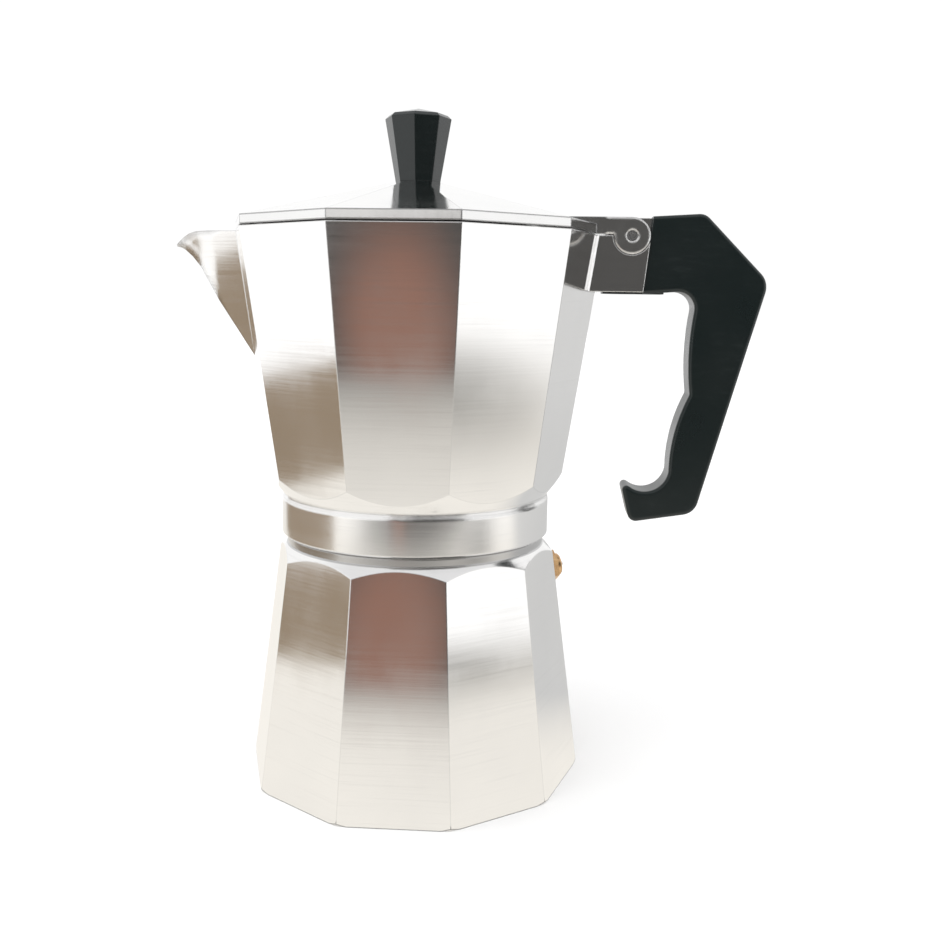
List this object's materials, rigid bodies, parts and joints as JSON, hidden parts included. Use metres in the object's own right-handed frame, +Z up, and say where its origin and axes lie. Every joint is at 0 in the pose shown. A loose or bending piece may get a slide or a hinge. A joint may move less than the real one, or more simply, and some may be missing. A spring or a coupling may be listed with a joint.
{
  "type": "moka pot",
  "caption": "Stove-top coffee maker: ten-sided polished metal boiler and pouring chamber, hinged lid with knob, beaked spout, looped black handle.",
  "frame": {"origin": "centre of the flat foot, on the surface the pot stands on", "axes": "+Z up along the pot's axis, +X towards the handle and the lid's hinge, the spout points to -X"},
  "size_m": [0.1775, 0.1068, 0.2025],
  "materials": {
    "polished_aluminium": "polished",
    "formed_aluminium": "satin",
    "black_plastic": "semi-gloss",
    "valve_brass": "machined",
    "steel": "machined",
    "gasket_rubber": "matt",
    "valve_rubber": "matt"
  },
  "bodies": {
    "boiler_group": {"boiler_body": "polished_aluminium", "valve_seal": "valve_rubber", "valve_body": "valve_brass", "valve_cap": "valve_brass", "valve_spring": "steel"},
    "valve_pin": {"valve_plunger": "steel"},
    "funnel_group": {"funnel_basket": "formed_aluminium", "funnel_stem": "formed_aluminium", "basket_sieve": "formed_aluminium"},
    "gasket_group": {"gasket": "gasket_rubber"},
    "filter_group": {"filter_plate": "formed_aluminium"},
    "chamber_group": {"upper_chamber": "polished_aluminium", "coffee_column": "formed_aluminium", "hinge_pin": "steel", "handle": "black_plastic", "handle_screw": "steel"},
    "lid_group": {"lid": "polished_aluminium", "knob": "black_plastic", "knob_washer": "steel", "knob_screw": "steel"}
  },
  "joints": [
    {"name": "valve_lift", "type": "slide", "parent": "boiler_group", "child": "valve_pin", "axis": [0.9433, 0.3065, 0.1273], "range_m": [0, 0.0012], "stiffness_N_per_m": 600, "springref_m": -0.003, "deforming": ["valve_spring"]},
    {"name": "funnel_lift", "type": "slide", "parent": "boiler_group", "child": "funnel_group", "axis": [0, 0, 1], "range_m": [0, 0.09]},
    {"name": "top_lift", "type": "slide", "parent": "funnel_group", "child": "gasket_group", "axis": [0, 0, 1], "range_m": [0, 0.06]},
    {"name": "thread_rise", "type": "slide", "parent": "gasket_group", "child": "filter_group", "axis": [0, 0, 1], "range_m": [0, 0.0092]},
    {"name": "chamber_turn", "type": "hinge", "parent": "filter_group", "child": "chamber_group", "pos_m": [0, 0, 0.09], "axis": [0, 0, 1], "range_deg": [0, 1260]},
    {"name": "lid_hinge", "type": "hinge", "parent": "chamber_group", "child": "lid_group", "pos_m": [0.0637, 0, 0.166], "axis": [0, 1, 0], "range_deg": [0, 90]}
  ],
  "couplings": [
    {"joint": "thread_rise", "follows": "chamber_turn", "m_per_rad": 0.0004138}
  ]
}
